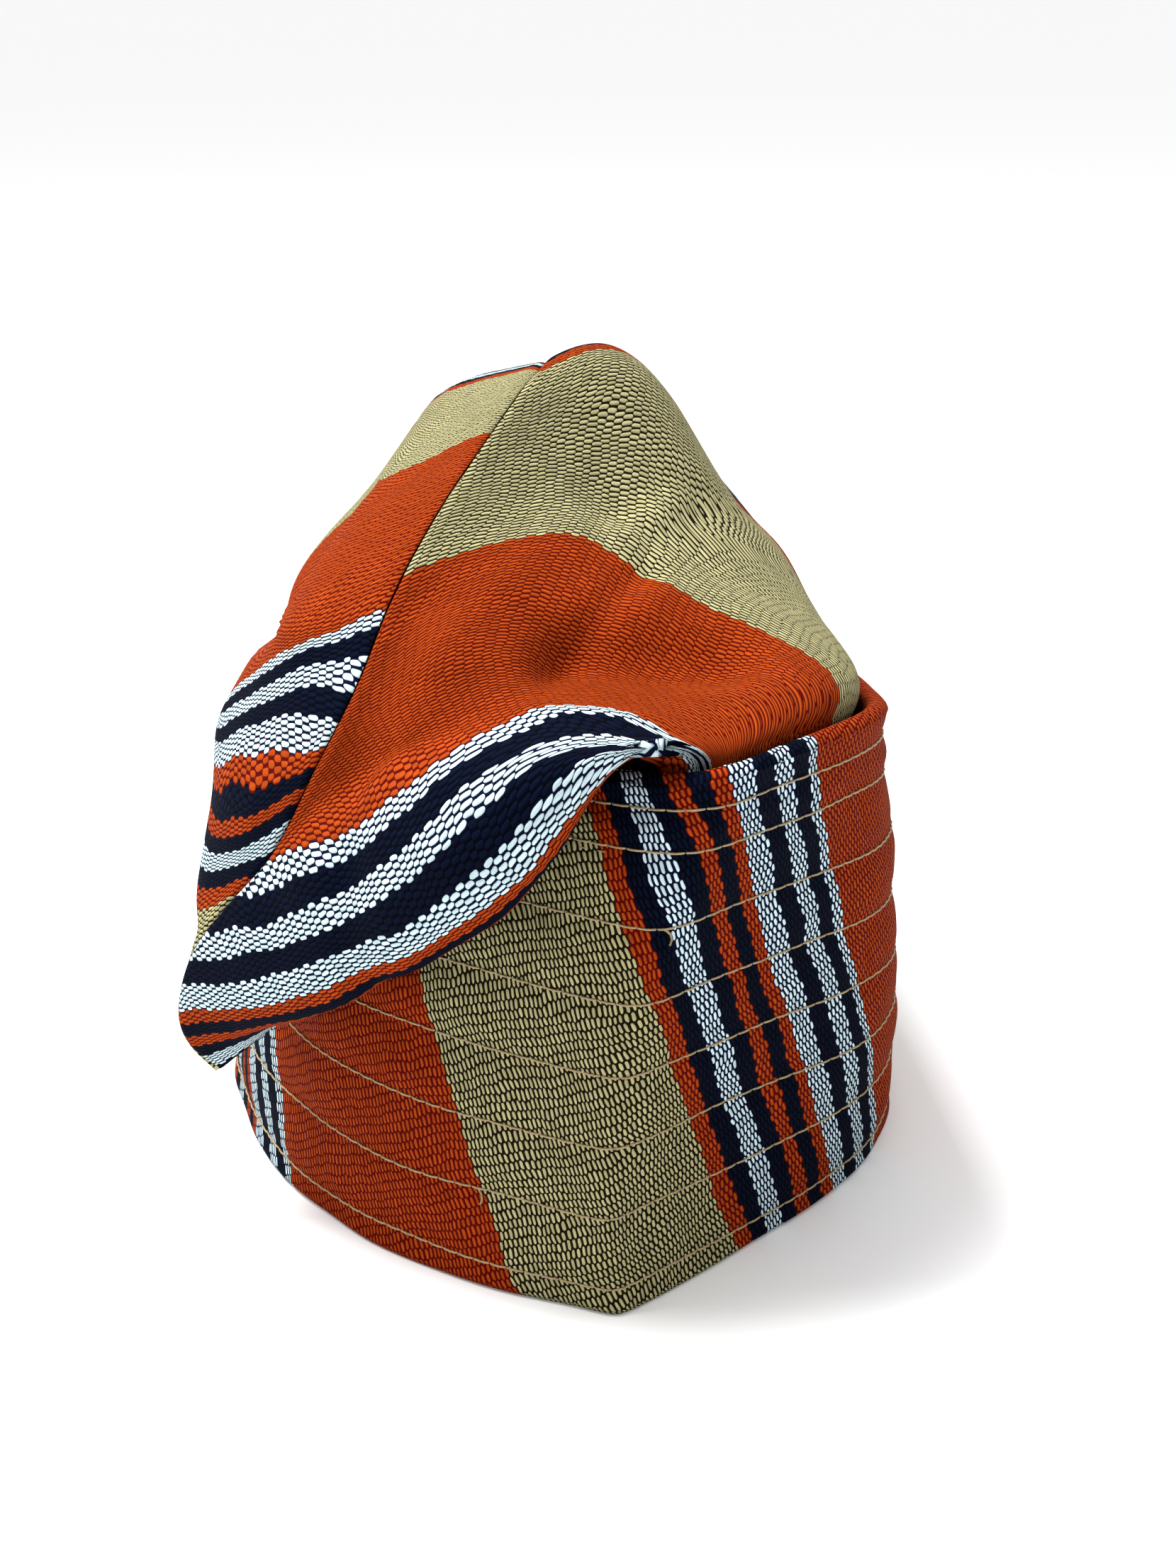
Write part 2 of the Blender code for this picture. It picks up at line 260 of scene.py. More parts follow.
def add_node(tree, kind, settings=(), inputs=()):
    """A shader node with its settings, and its inputs as constants or links.

    A node given as an input stands for its first output.
    """
    node = tree.nodes.new(kind)
    for key, value in dict(settings).items():
        setattr(node, key, value)
    for key, value in dict(inputs).items():
        if isinstance(value, bpy.types.Node):
            value = value.outputs[0]
        if isinstance(value, bpy.types.NodeSocket):
            tree.links.new(value, node.inputs[key])
        else:
            node.inputs[key].default_value = value
    return node


# The dyed yarns. colour of the warp, colour in the gaps between its floats
# Each gap colour is a dark copy of its stripe's colour: partly the dark weft, partly painted shade for the
# hollows between the floats.
YARNS = {
    "khaki": ("9E9870", "120E04"),
    "orange line": ("93390D", "480402"),
    "orange": ("92390E", "480402"),
    "navy": ("040A1C", "000108"),
    "white": ("B6CBD0", "060A22"),
}
# One repeat of the cloth across its stripes. yarn, width
STRIPES = (
    ("khaki", 45),
    ("orange line", 4),
    ("navy", 4),
    ("white", 5),
    ("navy", 3.8),
    ("orange line", 3.4),
    ("navy", 3.6),
    ("orange line", 3),
    ("white", 4.8),
    ("navy", 4.3),
    ("white", 4.2),
    ("navy", 3),
    ("white", 3.2),
    ("orange", 55),
)
THREAD = 0.5           # between the warp threads
PICK = 1.7             # between the weft threads
FLOAT_LENGTH = 0.92    # half of a warp float, where it rises over a weft thread
FLOAT_WIDTH = 0.34
DRIFT = (2, 2.6, 0)    # how far the stripes drift along and across the cloth
WANDER = (1.3, 0.45, 0)    # how far single floats wander from their places


def stripe_ramp(tree, across, part):
    """The stripes' colours by the place across the cloth: part 0 is the warp, part 1 the gaps, whose colours
    include painted shade.
    """
    repeat = sum(width for _, width in STRIPES)
    share = add_node(tree, "ShaderNodeMath", {"operation": "DIVIDE"}, {0: across, 1: repeat})
    turn = add_node(tree, "ShaderNodeMath", {"operation": "FRACT"}, {0: share})
    ramp = add_node(tree, "ShaderNodeValToRGB", (), {"Fac": turn})
    ramp.color_ramp.interpolation = "CONSTANT"
    stops = ramp.color_ramp.elements
    stops.remove(stops[1])
    start = 0
    for index, (yarn, width) in enumerate(STRIPES):
        stop = stops.new(start / repeat) if index else stops[0]
        stop.position = start / repeat
        stop.color = colour(YARNS[yarn][part])
        start += width
    return ramp.outputs["Color"]


def floats(tree, place, shift, fullness):
    """One half of the weave's floats, as the nearest one's middle and the height above its edge."""
    cell = (2 * PICK, 2 * THREAD, 1)
    before = (PICK * (1 - shift), THREAD * (1 - shift), 0)
    after = (PICK * shift, THREAD * shift, 0)
    size = (FLOAT_LENGTH * fullness, FLOAT_WIDTH * fullness, 1)
    moved = add_node(tree, "ShaderNodeVectorMath", {"operation": "ADD"}, {0: place, 1: before})
    snapped = add_node(tree, "ShaderNodeVectorMath", {"operation": "SNAP"}, {0: moved, 1: cell})
    middle = add_node(tree, "ShaderNodeVectorMath", {"operation": "ADD"}, {0: snapped, 1: after})
    away = add_node(tree, "ShaderNodeVectorMath", {"operation": "SUBTRACT"}, {0: place, 1: middle})
    scaled = add_node(tree, "ShaderNodeVectorMath", {"operation": "DIVIDE"}, {0: away, 1: size})
    squared = add_node(tree, "ShaderNodeVectorMath", {"operation": "MULTIPLY"}, {0: scaled, 1: scaled})
    parts = add_node(tree, "ShaderNodeSeparateXYZ", (), {0: squared})
    ends = add_node(tree, "ShaderNodeMath", {"operation": "MULTIPLY"}, {0: parts, 1: parts})
    fall = add_node(tree, "ShaderNodeMath", {"operation": "ADD"}, {0: ends, 1: parts.outputs["Y"]})
    return middle, add_node(tree, "ShaderNodeMath", {"operation": "SUBTRACT"}, {0: 1, 1: fall})


def moved_by_noise(tree, place, scale, detail, reach):
    """A place on the cloth moved by soft noise, up to about half the reach either way."""
    soft = add_node(tree, "ShaderNodeTexNoise", {"noise_dimensions": "2D"},
                    {"Vector": place, "Scale": scale, "Detail": detail})
    centred = add_node(tree, "ShaderNodeVectorMath", {"operation": "SUBTRACT"},
                       {0: soft.outputs["Color"], 1: (0.5, 0.5, 0.5)})
    offset = add_node(tree, "ShaderNodeVectorMath", {"operation": "MULTIPLY"}, {0: centred, 1: reach})
    return add_node(tree, "ShaderNodeVectorMath", {"operation": "ADD"}, {0: place, 1: offset})


def woven_cotton(name, fullness):
    """Handwoven cotton: thick soft warp floats like grains of rice over a dark weft, with painted shade in
    the gaps between them, dull all over.
    """
    material = bpy.data.materials.new(name)
    material.use_nodes = True
    tree = material.node_tree
    shader = tree.nodes["Principled BSDF"]
    place = add_node(tree, "ShaderNodeUVMap", {"uv_map": "cloth"})
    # Uneven tension on the loom: the stripes drift slowly from side to side.
    place = moved_by_noise(tree, place, 0.07, 1, DRIFT)
    # Hand beating and uneven yarn: the floats wander a little from a true grid.
    place = moved_by_noise(tree, place, 0.35, 2, WANDER)
    even_middle, even_height = floats(tree, place, 0, fullness)
    odd_middle, odd_height = floats(tree, place, 1, fullness)
    odd_wins = add_node(tree, "ShaderNodeMath", {"operation": "GREATER_THAN"},
                        {0: odd_height, 1: even_height})
    height = add_node(tree, "ShaderNodeMath", {"operation": "MAXIMUM"}, {0: even_height, 1: odd_height})
    chosen = add_node(tree, "ShaderNodeMix", {"data_type": "VECTOR"},
                      {"Factor": odd_wins, 4: even_middle, 5: odd_middle}).outputs[1]
    parts = add_node(tree, "ShaderNodeSeparateXYZ", (), {0: chosen})
    warp = stripe_ramp(tree, parts.outputs["Y"], 0)
    shaded_gap = stripe_ramp(tree, parts.outputs["Y"], 1)
    # Each float took the dye a little differently.
    grain = add_node(tree, "ShaderNodeTexWhiteNoise", {"noise_dimensions": "2D"}, {"Vector": chosen})
    tint = add_node(tree, "ShaderNodeMapRange", (), {"Value": grain, "To Min": 0.84, "To Max": 1.12})
    warp = add_node(tree, "ShaderNodeVectorMath", {"operation": "SCALE"}, {0: warp, "Scale": tint})
    # Fibres along the yarn.
    stretched = add_node(tree, "ShaderNodeVectorMath", {"operation": "MULTIPLY"}, {0: place, 1: (1.2, 9, 1)})
    fibre = add_node(tree, "ShaderNodeTexNoise", {"noise_dimensions": "2D"},
                     {"Vector": stretched, "Scale": 1, "Detail": 2})
    fibre_tint = add_node(tree, "ShaderNodeMapRange", (),
                          {"Value": fibre, "From Min": 0.3, "From Max": 0.7, "To Min": 0.86, "To Max": 1.1})
    warp = add_node(tree, "ShaderNodeVectorMath", {"operation": "SCALE"}, {0: warp, "Scale": fibre_tint})
    # The gap colour shows where a float dips low at its edges and between floats: painted shade in the
    # weave's hollows, over the dark weft.
    shown = add_node(tree, "ShaderNodeMapRange", {"interpolation_type": "SMOOTHSTEP"},
                     {"Value": height, "From Min": -0.02, "From Max": 0.24})
    mixed = add_node(tree, "ShaderNodeMix", {"data_type": "RGBA"}, {"Factor": shown, 6: shaded_gap, 7: warp})
    tree.links.new(mixed.outputs[2], shader.inputs["Base Color"])
    raised = add_node(tree, "ShaderNodeMath", {"operation": "MAXIMUM"}, {0: height, 1: 0})
    rounded = add_node(tree, "ShaderNodeMath", {"operation": "POWER"}, {0: raised, 1: 0.6})
    bump = add_node(tree, "ShaderNodeBump", (), {"Height": rounded, "Strength": 0.8, "Distance": 0.25 * MM})
    tree.links.new(bump.outputs["Normal"], shader.inputs["Normal"])
    shader.inputs["Roughness"].default_value = 0.9
    shader.inputs["Specular IOR Level"].default_value = 0.03
    return material


def ring_quads(rows, columns, closed):
    """Quads of a grid that closes round its columns and, if closed, from its last row to its first."""
    row = np.arange(rows if closed else rows - 1)[:, None]
    column = np.arange(columns)[None]
    after = (column + 1) % columns
    low = row * columns
    high = (row + 1) % rows * columns
    return np.stack(np.broadcast_arrays(low + column, low + after, high + after, high + column), axis=-1)


plans = band_plans(BAND_COLUMNS)
profile = band_profile()
band_grid = np.array([band_ring(share, plans, inset, lift) for share, inset, lift, _ in profile])
cad_band_low, cad_band_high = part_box("band")
own = np.vstack([band_loop(share, plans)[:, :2] for share in np.linspace(0, 1, 7)])
own_middle = (own.min(axis=0) + own.max(axis=0)) / 2
cad_middle = (np.array(cad_band_low) + np.array(cad_band_high))[:2] / 2 / MM
origin = np.array([*(own_middle - cad_middle), 0])

quads = ring_quads(len(profile), BAND_COLUMNS, True)
around = np.array([lengths(np.vstack([ring, ring[:1]])[:, :2]) for ring in band_grid])
full = around[:, -1:]
height_along = np.array([row[3] for row in profile])
height_along = height_along[:, None] * band_grid[:, :, 2].max(axis=0)[None] / BAND_HEIGHT
height_along = np.concatenate([height_along, height_along[:, :1]], axis=1)
crease = band_grid[:, :1, 0]
right_map = band_map(around + crease, height_along)
left_map = band_map(around - full + crease, height_along)
face_map = []
for row in range(len(profile)):
    after_row = (row + 1) % len(profile)
    for column in range(BAND_COLUMNS):
        side = right_map if column < BAND_COLUMNS // 2 else left_map
        low_corners = [side[row, column], side[row, column + 1]]
        high_corners = [side[after_row, column + 1], side[after_row, column]]
        face_map.append(low_corners + high_corners)
band = cloth_mesh("quilted_band", band_grid.reshape(-1, 3), quads.reshape(-1, 4), face_map)
# The band's floats are drawn thinner than the crown's, which opens more of the dark gaps and darkens the
# band: painted shade for its upright face, which gets less light from above than the crown.
band.data.materials.append(woven_cotton("handwoven cotton of the band", 0.88))
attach(band, "root")
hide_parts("band")


# The band's stitching: eight rows of tan cotton thread, each stitch a short bead of thread that dips into the
# cloth at both ends. The thread is about 0.4 mm thick.
STITCH = 3.4
THREAD_RADIUS = 0.2
THREAD_SIDES = 6
# How each stitch rises. share along it, height of its axis over the cloth
STITCH_RISE = ((0, -0.3), (0.1, 0.05), (0.3, 0.16), (0.5, 0.2), (0.7, 0.16), (0.9, 0.05), (1, -0.3))


def tube(points, radius, sides):
    """Rings round a line of points, as points and quads with fan ends."""
    along = unit(np.gradient(points, axis=0))
    across = unit(np.cross(along, [0, 0, 1.0]))
    other = np.cross(across, along)
    angles = np.arange(sides) * 2 * np.pi / sides
    rings = points[:, None] + radius * (np.cos(angles)[None, :, None] * across[:, None]
                                        + np.sin(angles)[None, :, None] * other[:, None])
    quads = [tuple(quad) for quad in ring_quads(len(points), sides, False).reshape(-1, 4)]
    ends = [tuple(range(sides)), tuple(reversed(range((len(points) - 1) * sides, len(points) * sides)))]
    return rings.reshape(-1, 3), quads + ends


def thread_mesh(name, tubes, material):
    points, faces, start = [], [], 0
    for tube_points, tube_faces in tubes:
        points.append(tube_points)
        faces += [tuple(start + i for i in reversed(face)) for face in tube_faces]
        start += len(tube_points)
    mesh = bpy.data.meshes.new(name)
    mesh.from_pydata(((np.concatenate(points) - origin) * MM).tolist(), [], faces)
    mesh.shade_smooth()
    mesh.materials.append(material)
    thing = bpy.data.objects.new(name, mesh)
    bpy.context.scene.collection.objects.link(thing)
    return thing


def cotton_thread(name):
    """Mercerised sewing cotton: tan, a little glossier than the cloth, with a fine twist."""
    material = bpy.data.materials.new(name)
    material.use_nodes = True
    tree = material.node_tree
    shader = tree.nodes["Principled BSDF"]
    place = add_node(tree, "ShaderNodeTexCoord").outputs["Object"]
    twist = add_node(tree, "ShaderNodeTexNoise", (), {"Vector": place, "Scale": 1500, "Detail": 1})
    ramp = add_node(tree, "ShaderNodeMix", {"data_type": "RGBA"},
                    {"Factor": twist.outputs["Fac"], 6: colour("6E5B3C"), 7: colour("A8946C")})
    tree.links.new(ramp.outputs[2], shader.inputs["Base Color"])
    shader.inputs["Roughness"].default_value = 0.6
    return material


def thread_row(height):
    """One row's line on the cloth: the distances along it, and its points with the ways out of them."""
    ring = band_ring(height / BAND_HEIGHT, plans, channels(height))
    table = np.column_stack([ring, outward(ring)])
    table = np.vstack([table, table[:1]])
    return lengths(table[:, :3]), table


def over_row(row, place, rise, drop):
    """The point this far along a row, so high over the cloth and so far under the row."""
    along, table = row
    point = np.array([np.interp(place % along[-1], along, values) for values in table.T])
    return np.array([*(point[:2] + unit(point[3:]) * rise), point[2] - drop])


def stitches(height, start, end, drop=0):
    """One row of stitches at this height of the front, between two places round the band."""
    row = thread_row(height)
    made = []
    for place in np.arange(start, end, STITCH):
        line = [over_row(row, place + part * STITCH, rise, drop) for part, rise in STITCH_RISE]
        made.append(tube(np.array(line), THREAD_RADIUS, THREAD_SIDES))
    return made


thread = cotton_thread("tan sewing cotton")
all_stitches = []
for height in STITCH_ROWS:
    all_stitches += stitches(height, -GIRTH / 2 + 4, GIRTH / 2 - 4)
# One row was sewn twice on the left, and at two places the thread ends in a short tail.
all_stitches += stitches(88.3, -105, -14, 1.2)
# How a tail hangs. run along the row, height over the cloth, drop
TAIL = ((-0.4, -0.3, 0), (0.3, 0.3, 0.2), (0.9, 0.6, 0.9), (1.1, 0.7, 1.9), (0.7, 0.8, 2.8))
for height, place in ((74.4, 1), (19.2, -26)):
    line = [over_row(thread_row(height), place + run, rise, drop) for run, rise, drop in TAIL]
    all_stitches.append(tube(np.array(line), THREAD_RADIUS, THREAD_SIDES))
stitching = thread_mesh("band_stitching", all_stitches, thread)
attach(stitching, "root")


# The crown: two panels of the same cloth sewn together along a curved seam, standing up behind the band's rim
# and folded forward over it into a hanging flap. The right panel is the one on the viewer's right.
CLOTH = 1.5
TUCK_INSET = 5.6
TUCK_SHARES = (0.04, 0.25, 0.46, 0.67, 0.85)
TUCK_ROUNDING = 7
PINCHED = 0.38         # where the two panels lie close, each wall takes at most this share of the distance
SEAM_GAP = 0.3
CROWN_COLUMNS = 336
CROWN_ROWS = 136
RIB_STEPS = 600        # along a rib's curve before it is spaced evenly
MITRE_LIMIT = 0.6      # keeps the wall's mitre at the seam from growing long where the panels lie close

# Where the cloth passes the rim, over it into the flap or up inside it.
# depth behind the outer face over, height over the rim over, depth inside, height inside
PASSING = (
    (6.5, -1, 7.6, -7),
    (2, 3, 6.2, -3.5),
    (-3.5, -1, 5, 0),
)
CROSSING_ARCH = 3      # how much higher the cloth lies halfway from over the rim to inside it
# The seam between the two panels, from the flap's tip over the peak to the back. rib, x, y, z
RIDGE = (
    ("front", -76, 42, 27),
    ("edge", -83, 43, 36),
    ("border", -78, 37, 55),
    ("crest", -62, 25, 77),
    ("fold", -53, 20, 94.5),
    ("valley", -45, 23, 110),
    ("shoulder", -36, 38, 128.5),
    ("upper", -22, 60, 147),
    ("peak", -14, 82, 154.5),
    ("behind", -13, 120, 147),
    ("rear", -18, 160, 135),
    ("back", -27, 211, 112),
)
# The cloth's ribs, each from the rim up to the seam. place along the rim, share passing over the rim,
# low point x, y, z, high point x, y, z
RIGHT_RIBS = (
    (-30, 1, -27, 16, 78, -51, 31, 52),
    (-27, 1, -12, 3, 87.5, -42, 10, 59),
    (-20, 0, -4, -4, 101, -42, 3, 76),
    (-9, 0, 0, -4, 107.5, -32, 3, 100),
    (0, 0, 9, 8, 106.5, -21, 14, 107),
    (35, 0, 13, 27, 113, -20, 26, 115),
    (84, 0, 20, 58, 120, -13, 47, 127),
    (125, 0, 26.5, 88, 120, -5, 70, 140),
    (158, 0, 24.5, 106, 123, -2, 93, 156),
    (192, 0, 21, 143, 121, 3, 128, 138),
    (232, 0, 8, 184, 114, -4, 170, 128),
    (283, 0, -27.5, 226, 106, -28, 219, 110),
)
LEFT_RIBS = (
    (-30, 1, -27, 16, 78, -51, 31, 52),
    (-46, 1, -42, 28, 80, -66, 45, 44),
    (-60, 1, -60, 48, 76, -77, 47, 55),
    (-76, 1, -69, 60, 83, -77, 47, 68),
    (-88, 1, -71.5, 64, 90, -74, 45, 81),
    (-102, 1, -70.5, 67, 95, -69, 44, 95),
    (-124, 0.8, -60, 86, 105, -57, 55, 119),
    (-148, 0.4, -54, 104, 118, -40, 76, 138),
    (-172, 0, -50, 133, 122, -32, 103, 146),
    (-200, 0, -50, 158, 117, -35, 136, 138),
    (-238, 0, -43, 190, 112, -34, 173, 125),
    (-283, 0, -27.5, 226, 106, -28, 219, 110),
)
# Where each rib lies across the stripes, which sets the pattern. right panel at the rim, low point, high
# point and seam, then left panel at the seam, high point, low point and rim
ACROSS = (
    (-104, -99, -94, -94, -126, -122, -118, -112),
    (-90, -88, -81, -78, -119, -116, -110, -104),
    (-78, -74.5, -66, -63, -109, -103, -98, -92),
    (-72, -70, -55.5, -54, -95, -93, -82, -76),
    (-44, -53, -51.5, -39, -79.5, -79, -71, -63),
    (-2, -22, -32, -21, -64.5, -68, -51, -50),
    (38, 14, -4, 4, -45, -34, -30, -28),
    (68, 30, 22, 33, 2, 9, -8, -3),
    (88, 40, 49, 54, 52, 50, 30, 36),
    (105, 76, 82, 88, 82, 78, 60, 62),
    (128, 112, 116, 126, 124, 116, 105, 100),
    (172, 172, 174, 176, 176, 174, 172, 172),
)


def on_band(share, places, inset, lift=0, rounding=0):
    """Points at places round the band, set back from its outer face and lifted."""
    loop = band_loop(share, band_plans(FINE))
    if rounding:
        loop = np.column_stack([round_off(loop[:, :2], rounding), loop[:, 2]])
    table = np.column_stack([loop, outward(loop)])
    table = np.vstack([table, table[:1]])
    at = places % GIRTH * FINE / GIRTH
    point = np.stack([np.interp(at, np.arange(FINE + 1), values) for values in table.T], axis=1)
    level = point[:, :2] - point[:, 3:] * np.reshape(inset, (-1, 1))
    return np.column_stack([level, point[:, 2] + lift])


def round_ring(values, turn, at):
    """Values at the ribs, which go right round the cap, read between them. turn is what one round adds."""
    count = len(values)
    knots = np.arange(-4, count + 4)
    wrapped = values[knots % count] + np.outer(knots // count, turn)
    return spline(knots, wrapped, at)


def crown_surface():
    """The crown's outer face, rows from the tucked foot to the seam and columns right round from the front,
    with the place across the stripes at each point, as seen from the right panel and from the left."""
    last = len(RIDGE) - 1
    at = np.arange(CROWN_COLUMNS) * 2 * last / CROWN_COLUMNS
    ribs = np.array(RIGHT_RIBS + LEFT_RIBS[1:-1][::-1], float)
    ribs[last + 1:, 0] += GIRTH
    read = round_ring(ribs, [GIRTH] + [0] * 7, at)
    places = read[:, 0]
    over = np.clip(read[:, 1], 0, 1)
    from_front = np.minimum(at, 2 * last - at)
    seam = spline(np.arange(last + 1), [row[1:] for row in RIDGE], from_front)
    across = spline(np.arange(last + 1), ACROSS, from_front)
    tuck = [on_band(share, places, TUCK_INSET, rounding=TUCK_ROUNDING) for share in TUCK_SHARES]
    passing = []
    for inset_over, lift_over, inset_in, lift_in in PASSING:
        inset = over * inset_over + (1 - over) * inset_in
        lift = over * lift_over + (1 - over) * lift_in + CROSSING_ARCH * 4 * over * (1 - over)
        passing.append(on_band(1, places, inset, lift))
    keys = np.stack(passing + [read[:, 2:5], read[:, 5:8], seam], axis=1)
    above, right, left = [], [], []
    for rib, place in zip(keys, across):
        knots = lengths(rib)
        fine_knots = np.linspace(knots[0], knots[-1], RIB_STEPS)
        fine = spline(knots, rib, fine_knots)
        even = np.linspace(0, lengths(fine)[-1], CROWN_ROWS + 1)
        above.append(read_along(fine, even))
        knot_at = np.interp(even, lengths(fine), fine_knots)
        reading = np.maximum(knot_at, knots[2])
        right.append(spline(knots[2:], place[:4, None], reading)[:, 0])
        left.append(spline(knots[2:], place[:3:-1, None], reading)[:, 0])
    grid = np.concatenate([tuck, np.stack(above, axis=1)])
    sides = []
    for side in (np.array(right).T, np.array(left).T):
        sides.append(np.vstack([np.repeat(side[:1], len(tuck), axis=0), side]))
    return grid, sides[0], sides[1]


# Folds and puckers, each along a line on the cloth.
# start x, y, z, end x, y, z, width, height over the cloth
FOLDS = (
    (16, 30, 113, -8, 28, 114, 8, -6),
    (6, 44, 120, -26, 24, 112, 5, 1),
    (5, 49, 123, -12, 24, 113, 3.5, -2),
    (-8, 52, 131, -30, 25, 116, 6, 1.6),
    (2, 58, 127, 13, 76, 131, 3.5, 1.6),
    (-4, 66, 133, 4, 60, 128, 5, -1.3),
    (-14, 15, 108, 6, 12, 107, 4.5, 1.1),
    (-35, 34, 121, -46, 15, 95, 4.5, -1.4),
    (-28, 28, 117, -38, 11, 97, 5, 1),
    (-46, 8, 84, -42, 10, 64, 5, -1.6),
    (-30, -4, 97, -24, -2, 80, 6, 1),
)
UNEVEN = 0.6           # how far the cloth's own unevenness moves it
UNEVEN_PER_MM = 0.07   # and how quickly it changes
SEAM_DIP = 0.8         # how deep the seam's stitches draw the cloth in
SEAM_DIP_WIDTH = 1.3
FOLDS_FROM = 24        # the row where the folds start, counted up from the tucked foot
FOLDS_FADE = 20        # and the rows they take to reach their full height


def fold_push(points):
    """How far the folds, the unevenness and the seam move each point out of the smooth surface."""
    push = np.zeros(points.shape[:2])
    for row in FOLDS:
        start, run = np.array(row[:3]), np.array(row[3:6]) - row[:3]
        share = np.clip((points - start) @ run / (run @ run), 0, 1)
        away = np.linalg.norm(points - start - share[..., None] * run, axis=2)
        push += row[7] * np.exp(-(away / row[6])**2)
    steps = np.linalg.norm(np.diff(points, axis=0), axis=2)
    from_seam = np.vstack([np.cumsum(steps[::-1], axis=0)[::-1], np.zeros(points.shape[1])])
    push -= SEAM_DIP * np.exp(-(from_seam / SEAM_DIP_WIDTH)**2)
    for place in np.ndindex(push.shape):
        push[place] += UNEVEN * noise.noise(Vector(points[place] * UNEVEN_PER_MM))
    return push


def crown_walls(outer):
    """The crown's inner face, with the wall's mitre along the seam."""
    count = outer.shape[1]
    mate = -np.arange(count) % count
    along = np.roll(outer, -1, axis=1) - np.roll(outer, 1, axis=1)
    up = np.gradient(outer, axis=0)
    along[-1, [0, count // 2]] = along[-2, [0, count // 2]]
    facing = unit(np.cross(along, up))
    shared = unit(facing[-1] + facing[-1, mate])
    lean = np.sum(shared * facing[-1], axis=1, keepdims=True)
    for tip, beside in ((0, 1), (count // 2, count // 2 - 1)):
        shared[tip] = unit(facing[-2, tip] + shared[beside])
    facing[-1] = shared / np.maximum(lean, MITRE_LIMIT)
    apart = np.linalg.norm(outer - outer[:, mate], axis=2, keepdims=True)
    wall = np.minimum(CLOTH, PINCHED * apart)
    for seam, beside in ((0, 1), (count // 2, count // 2 + 1)):
        wall[:, seam] = wall[:, beside]
    wall[-1] = wall[-2]
    return facing, wall


def warp_map(points, across):
    """Where each point of a grid lies along the warp, at right angles to the stripes."""
    by_row = np.gradient(points, axis=0)
    by_column = np.gradient(points, axis=1)
    rr = np.sum(by_row * by_row, axis=2)
    rc = np.sum(by_row * by_column, axis=2)
    cc = np.sum(by_column * by_column, axis=2)
    area = np.maximum(rr * cc - rc**2, 1e-4)
    across_row = np.gradient(across, axis=0)
    across_column = np.gradient(across, axis=1)
    row_part = (cc * across_row - rc * across_column) / area
    column_part = (rr * across_column - rc * across_row) / area
    steepest = by_row * row_part[..., None] + by_column * column_part[..., None]
    warp = unit(np.cross(unit(np.cross(by_column, by_row)), steepest))
    along_row = np.sum(by_row * warp, axis=2)
    along_column = np.sum(by_column * warp, axis=2)
    middle = len(points) * 2 // 3
    start = np.concatenate([[0], np.cumsum((along_column[middle, 1:] + along_column[middle, :-1]) / 2)])
    steps = (along_row[1:] + along_row[:-1]) / 2
    rise = np.vstack([np.zeros(points.shape[1]), np.cumsum(steps, axis=0)])
    return start + rise - rise[middle]


def set_back(face, seam, inner_side, facing):
    """Seam points moved half a gap towards their own panel."""
    towards = inner_side - seam
    run = unit(np.gradient(seam, axis=0))
    towards -= run * np.sum(run * towards, axis=1, keepdims=True)
    facing = facing - run * np.sum(run * facing, axis=1, keepdims=True)
    facing = unit(facing)
    towards -= facing * np.sum(facing * towards, axis=1, keepdims=True)
    return face + unit(towards) * SEAM_GAP / 2


def shell_quads(rows, columns):
    """Quads of a closed wall between an outer and an inner grid of the same size."""
    size = rows * columns
    corner = (np.arange(rows - 1)[:, None] * columns + np.arange(columns - 1)).ravel()
    outer = np.stack([corner, corner + 1, corner + columns + 1, corner + columns], axis=1)
    inner = size + outer[:, ::-1]
    foot = np.arange(columns)
    far = np.arange(1, rows) * columns + columns - 1
    top = (rows - 1) * columns + np.arange(columns - 2, -1, -1)
    near = np.arange(rows - 2, 0, -1) * columns
    start = np.concatenate([foot, far, top, near])
    end = np.roll(start, -1)
    border = np.stack([end, start, size + start, size + end], axis=1)
    return np.concatenate([outer, inner, border])


def crown_panel(name, first, outer, inner, across):
    """One panel, half the crown's columns from the first, as a closed wall mapped onto the cloth."""
    count = outer.shape[1]
    columns = np.arange(first, first + count // 2 + 1) % count
    outer = outer[:, columns]
    inner = inner[:, columns]
    across = across[:, columns]
    edge = [(row, 0) for row in range(len(outer))]
    edge += [(-1, column) for column in range(1, len(columns) - 1)]
    edge += [(row, -1) for row in reversed(range(len(outer)))]
    rows, places = np.array(edge).T
    beside_rows = np.where((places != 0) & (places != -1), -2, rows)
    beside_places = np.where(places == 0, 1, np.where(places == -1, -2, places))
    seam = outer[rows, places]
    beside = outer[beside_rows, beside_places]
    facing = seam - inner[rows, places]
    moved_outer = set_back(seam, seam, beside, facing)
    moved_inner = set_back(inner[rows, places], seam, beside, facing)
    along = warp_map(outer, across)
    outer[rows, places] = moved_outer
    inner[rows, places] = moved_inner
    points = np.concatenate([outer.reshape(-1, 3), inner.reshape(-1, 3)])
    quads = shell_quads(*outer.shape[:2])
    cloth = np.stack([along, across], axis=-1).reshape(-1, 2)
    cloth = np.concatenate([cloth, cloth])
    return cloth_mesh(name, points, quads, cloth[quads])


outer, across_right, across_left = crown_surface()
facing, wall = crown_walls(outer)
# The folds fade out towards the rim, where the band holds the cloth.
free = np.clip((np.arange(len(outer)) - FOLDS_FROM) / FOLDS_FADE, 0, 1)[:, None, None]
outer = outer + facing * fold_push(outer)[..., None] * free
facing, wall = crown_walls(outer)
inner = outer - facing * wall
right_panel = crown_panel("right_crown", 0, outer, inner, across_right)
right_panel.data.materials.append(woven_cotton("handwoven cotton of the right panel", 1))
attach(right_panel, "root")
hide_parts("right_panel")


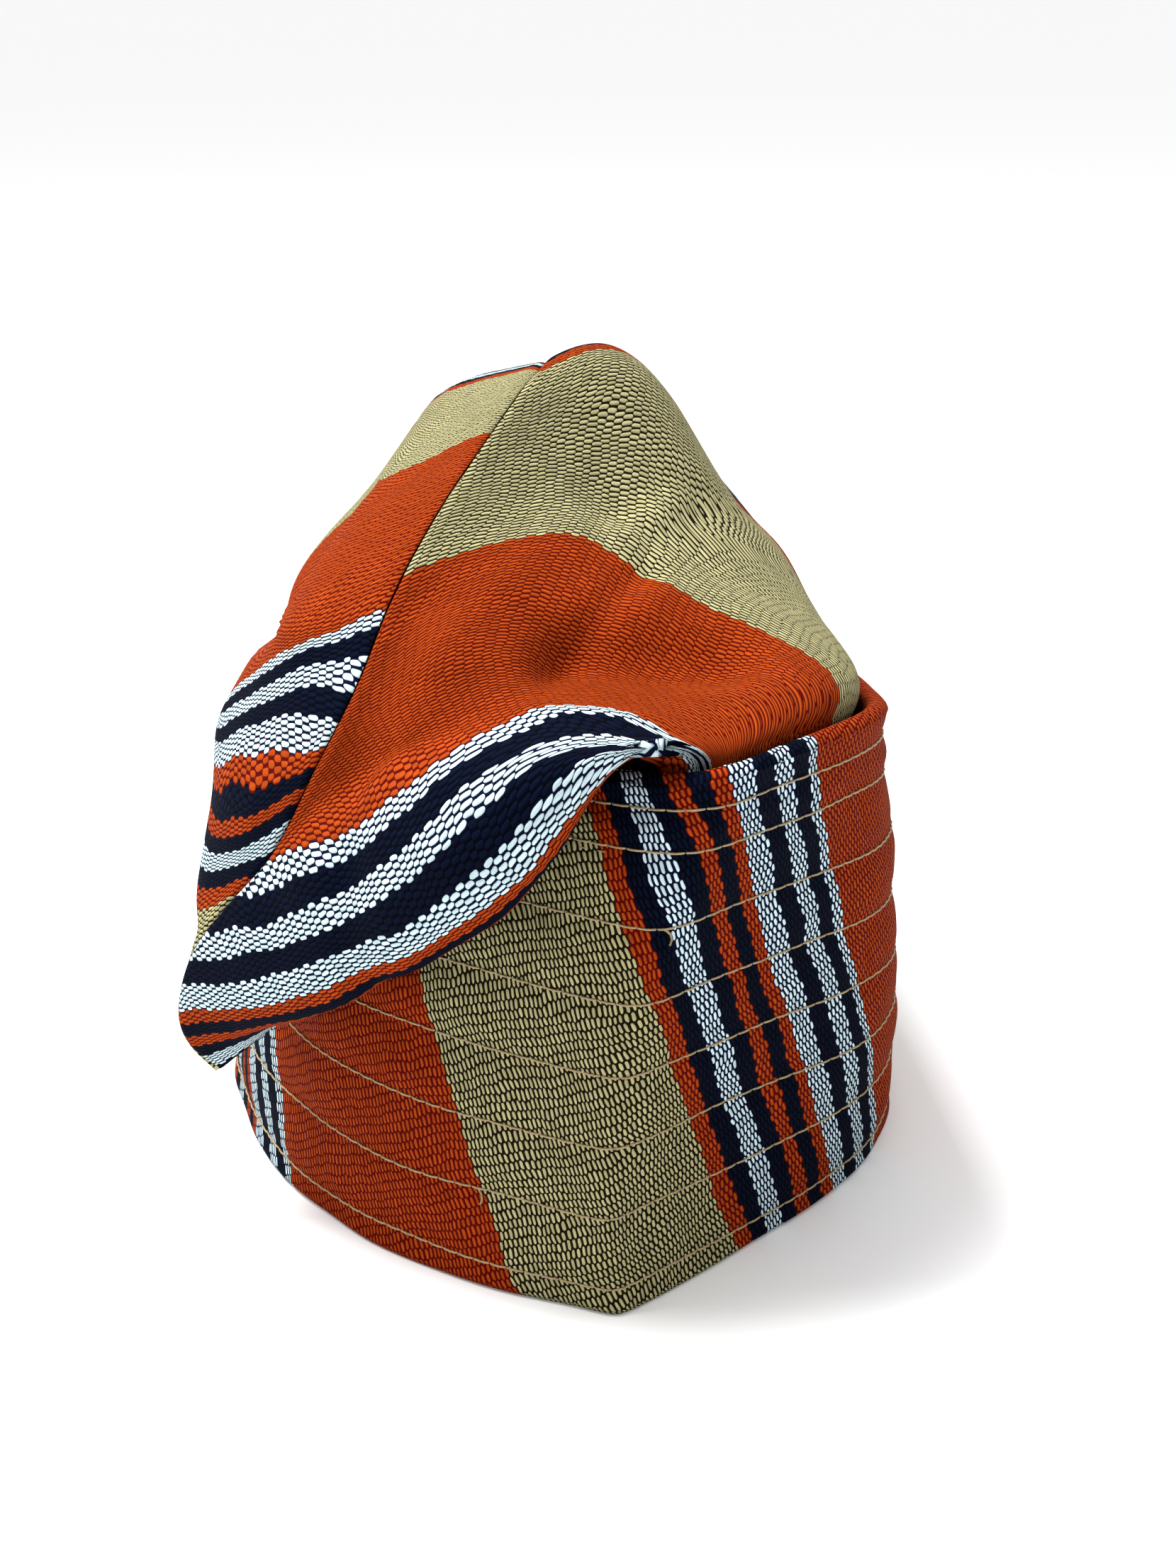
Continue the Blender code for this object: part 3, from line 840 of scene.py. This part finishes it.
# The left panel: the same cloth, sewn on with its stripes out of line, as the seam shows.
left_panel = crown_panel("left_crown", CROWN_COLUMNS // 2, outer, inner, across_left)
left_panel.data.materials.append(woven_cotton("handwoven cotton of the left panel", 1))
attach(left_panel, "root")
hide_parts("left_panel")


# The floor: a plain pale sheet of card, large enough that its edge stays out of view.
FLOOR_SIDE = 60
bpy.ops.mesh.primitive_plane_add(size=FLOOR_SIDE, location=(0, 0, 0))
floor = bpy.context.object
floor.name = "floor"
card = bpy.data.materials.new("white card")
card.use_nodes = True
card.node_tree.nodes["Principled BSDF"].inputs["Base Color"].default_value = colour("F8F8F8")
card.node_tree.nodes["Principled BSDF"].inputs["Roughness"].default_value = 0.9
floor.data.materials.append(card)


# The light: a white room, with one broad soft lamp overhead on the left.
world = bpy.data.worlds.new("white room")
bpy.context.scene.world = world
world.use_nodes = True
world.node_tree.nodes["Background"].inputs["Color"].default_value = (1, 1, 1, 1)
world.node_tree.nodes["Background"].inputs["Strength"].default_value = 1.0
LAMP_PLACE = Vector((-0.33, -0.03, 0.98))
LAMP_AIM = Vector((0, 0, 0.08))
lamp_data = bpy.data.lights.new("overhead lamp", "AREA")
lamp_data.shape = "SQUARE"
lamp_data.size = 0.4
lamp_data.energy = 20
lamp = bpy.data.objects.new("overhead lamp", lamp_data)
lamp.location = LAMP_PLACE
lamp.rotation_euler = (LAMP_AIM - LAMP_PLACE).to_track_quat("-Z", "Y").to_euler()
bpy.context.scene.collection.objects.link(lamp)
bpy.context.scene.view_settings.view_transform = "Standard"


# The camera: 20 degrees down on the band's front crease, at the photograph's distance.
FOCAL_PIXELS = 3200
FRAME_HEIGHT = 2212
CAMERA_PLACE = np.array([-5.3, -343.6, 225.5])
CAMERA_PITCH = 20
camera_data = bpy.data.cameras.new("camera")
camera_data.sensor_width = 36
camera_data.lens = 36 * FOCAL_PIXELS / FRAME_HEIGHT
camera = bpy.data.objects.new("camera", camera_data)
camera.location = (CAMERA_PLACE - origin) * MM
camera.rotation_euler = (math.radians(90 - CAMERA_PITCH), 0, 0)
bpy.context.scene.collection.objects.link(camera)
bpy.context.scene.camera = camera
